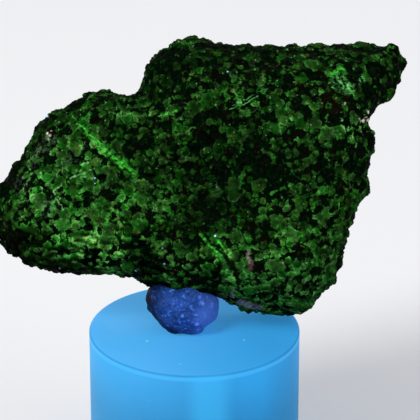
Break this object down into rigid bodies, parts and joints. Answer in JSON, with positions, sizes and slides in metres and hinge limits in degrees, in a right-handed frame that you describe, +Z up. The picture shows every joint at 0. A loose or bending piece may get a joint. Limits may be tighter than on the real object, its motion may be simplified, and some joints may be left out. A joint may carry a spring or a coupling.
{
  "type": "willemite and franklinite specimen",
  "caption": "Broken slab of granular ore, green willemite grains in black franklinite, leaning back on putty and a round translucent plastic display stand.",
  "frame": {"origin": "centre of the stand's round foot", "axes": "+Z up, -Y towards the viewer who faces the slab's front, +X to that viewer's right"},
  "size_m": [0.0994, 0.0552, 0.1053],
  "materials": {
    "ore": "rounded, waxy green willemite grains that glow under ultraviolet light, in dark metallic franklinite",
    "putty": "dark blue kneaded putty with fine bright blue specks",
    "stand": "milky translucent plastic, satin, glowing sky blue under ultraviolet light"
  },
  "bodies": {
    "root": {"ore": "ore", "putty": "putty", "stand": "stand"}
  },
  "joints": []
}
